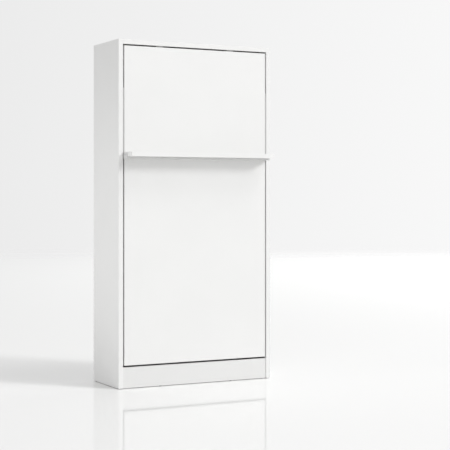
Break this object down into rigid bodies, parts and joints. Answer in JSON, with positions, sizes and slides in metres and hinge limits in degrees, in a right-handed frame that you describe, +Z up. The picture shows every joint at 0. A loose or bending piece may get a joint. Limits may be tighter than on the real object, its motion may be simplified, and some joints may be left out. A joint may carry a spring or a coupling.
{
  "type": "murphy wall bed",
  "caption": "Vertical single wall bed, closed: white cabinet, drop-down front panel with sprung bed and mattress, and a shelf that swings down to be the leg.",
  "frame": {"origin": "on the floor, in the middle of the whole width and of the whole depth, shelf included", "axes": "+X to the right of someone who faces the front, +Y into the cabinet towards the wall, +Z up"},
  "size_m": [1.08, 0.54, 2.18],
  "materials": {
    "white_board": "satin",
    "white_back": "matte",
    "frame_paint": "satin",
    "arm_paint": "satin",
    "zinc": "satin",
    "rod_chrome": "polished",
    "strut_black": "satin",
    "black_plastic": "matte",
    "white_plastic": "satin",
    "rubber_pad": "matte",
    "felt": "matte",
    "ticking": "matte",
    "webbing": "matte",
    "beech": "satin"
  },
  "bodies": {
    "cabinet": {"side_panel_left": "white_board", "side_panel_right": "white_board", "top_panel": "white_board", "front_plinth": "white_board", "wall_rail_lower": "white_board", "wall_rail_middle": "white_board", "wall_rail_upper": "white_board", "back_panel_lower": "white_back", "back_panel_upper": "white_back", "back_panel_screws": "zinc", "floor_glides": "black_plastic", "cam_fittings": "zinc", "pivot_plate_left": "zinc", "pivot_plate_right": "zinc", "strut_anchor_left": "zinc", "strut_anchor_right": "zinc", "hardware_screws": "zinc", "pivot_pins": "zinc", "pivot_clips": "zinc", "rod_foot_pins": "zinc", "stop_blocks": "white_plastic", "stop_pads": "rubber_pad", "magnet_catches": "white_plastic"},
    "bed": {"front_panel": "white_board", "bed_rail_left": "frame_paint", "bed_rail_right": "frame_paint", "rail_end_caps": "black_plastic", "head_rail": "frame_paint", "foot_rail": "frame_paint", "cross_rails": "frame_paint", "slats": "beech", "slat_holders": "black_plastic", "panel_brackets": "zinc", "panel_screws": "zinc", "bed_bracket_left": "frame_paint", "bed_bracket_right": "frame_paint", "pivot_bushes": "black_plastic", "bracket_bolts": "zinc", "leg_pivot_blocks": "frame_paint", "leg_pivot_bolts": "zinc", "strike_plates": "zinc", "mattress": "ticking", "mattress_stop": "frame_paint", "strap_head": "webbing", "strap_foot": "webbing", "strap_buckles": "black_plastic", "strap_anchors": "zinc"},
    "leg_shelf": {"shelf_board": "white_board", "foot_bar": "arm_paint", "leg_arm_left": "arm_paint", "leg_arm_right": "arm_paint", "shelf_screws": "zinc", "rod_head_pins": "zinc", "foot_pads": "felt"},
    "level_rod_left": {"levelling_rod_left": "zinc"},
    "level_rod_right": {"levelling_rod_right": "zinc"},
    "strut_body_left": {"strut_tube_left": "strut_black"},
    "strut_body_right": {"strut_tube_right": "strut_black"},
    "strut_rod_left": {"strut_piston_left": "rod_chrome"},
    "strut_rod_right": {"strut_piston_right": "rod_chrome"}
  },
  "joints": [
    {"name": "bed_fold", "type": "hinge", "parent": "cabinet", "child": "bed", "pos_m": [0, -0.07, 0.461], "axis": [1, 0, 0], "range_deg": [0, 90], "stiffness_Nm_per_rad": 150, "springref_deg": -22.92},
    {"name": "leg_level", "type": "hinge", "parent": "bed", "child": "leg_shelf", "pos_m": [0, -0.114, 1.85], "axis": [1, 0, 0], "range_deg": [-90, 0]},
    {"name": "level_rod_left_swing", "type": "hinge", "parent": "cabinet", "child": "level_rod_left", "pos_m": [-0.5001, -0.042, 0.489], "axis": [1, 0, 0], "range_deg": [0, 90]},
    {"name": "level_rod_right_swing", "type": "hinge", "parent": "cabinet", "child": "level_rod_right", "pos_m": [0.5001, -0.042, 0.489], "axis": [1, 0, 0], "range_deg": [0, 90]},
    {"name": "strut_left_tilt", "type": "hinge", "parent": "cabinet", "child": "strut_body_left", "pos_m": [-0.493, 0.11, 1.05], "axis": [1, 0, 0], "range_deg": [0, 12.38]},
    {"name": "strut_left_slide", "type": "slide", "parent": "strut_body_left", "child": "strut_rod_left", "axis": [0, 0.2308, 0.973], "range_m": [0, 0.1911]},
    {"name": "strut_right_tilt", "type": "hinge", "parent": "cabinet", "child": "strut_body_right", "pos_m": [0.493, 0.11, 1.05], "axis": [1, 0, 0], "range_deg": [0, 12.38]},
    {"name": "strut_right_slide", "type": "slide", "parent": "strut_body_right", "child": "strut_rod_right", "axis": [0, 0.2308, 0.973], "range_m": [0, 0.1911]}
  ],
  "couplings": [
    {"joint": "leg_level", "follows": "bed_fold", "ratio": -1},
    {"joint": "level_rod_left_swing", "follows": "bed_fold", "ratio": 1},
    {"joint": "level_rod_right_swing", "follows": "bed_fold", "ratio": 1},
    {"joint": "strut_left_tilt", "follows": "bed_fold", "ratio": 0.13743},
    {"joint": "strut_left_slide", "follows": "bed_fold", "m_per_rad": 0.12157},
    {"joint": "strut_right_tilt", "follows": "bed_fold", "ratio": 0.13743},
    {"joint": "strut_right_slide", "follows": "bed_fold", "m_per_rad": 0.12157}
  ]
}
